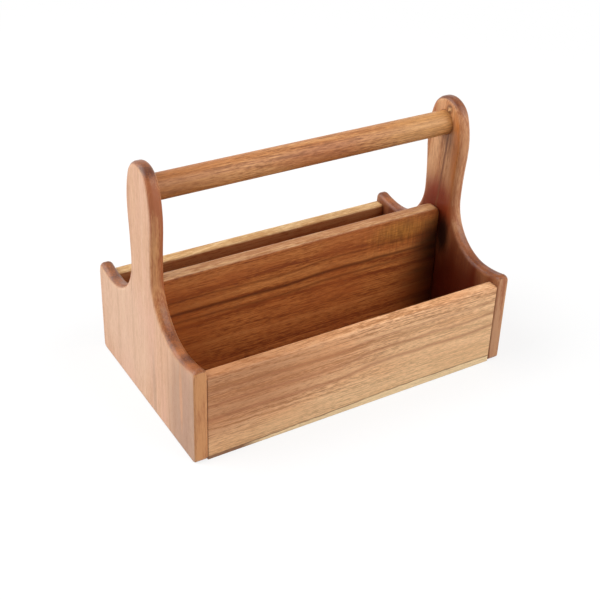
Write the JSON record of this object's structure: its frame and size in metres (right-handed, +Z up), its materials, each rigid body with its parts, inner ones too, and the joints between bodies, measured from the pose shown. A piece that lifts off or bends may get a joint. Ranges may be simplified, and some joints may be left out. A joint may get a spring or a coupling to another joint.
{
  "type": "carry caddy",
  "caption": "Open wooden carry caddy: shaped ends rise to a round dowel handle over a central divider, with a low front and back wall and a compartment on each side.",
  "frame": {"origin": "on the table under the middle of the caddy", "axes": "+X along the handle to the right end, -Y to the front wall, +Z up"},
  "size_m": [0.33, 0.2026, 0.24],
  "materials": {
    "acacia_ends": "oiled, satin",
    "acacia_walls": "oiled, satin",
    "acacia_divider": "oiled, satin",
    "acacia_base": "oiled, satin",
    "acacia_handle": "oiled, satin",
    "beech_pins": "bare, fluted"
  },
  "bodies": {
    "root": {"left_end": "acacia_ends", "right_end": "acacia_ends", "front_wall": "acacia_walls", "back_wall": "acacia_walls", "divider": "acacia_divider", "base": "acacia_base", "handle": "acacia_handle", "front_wall_pins": "beech_pins", "back_wall_pins": "beech_pins", "divider_pins": "beech_pins"}
  },
  "joints": []
}
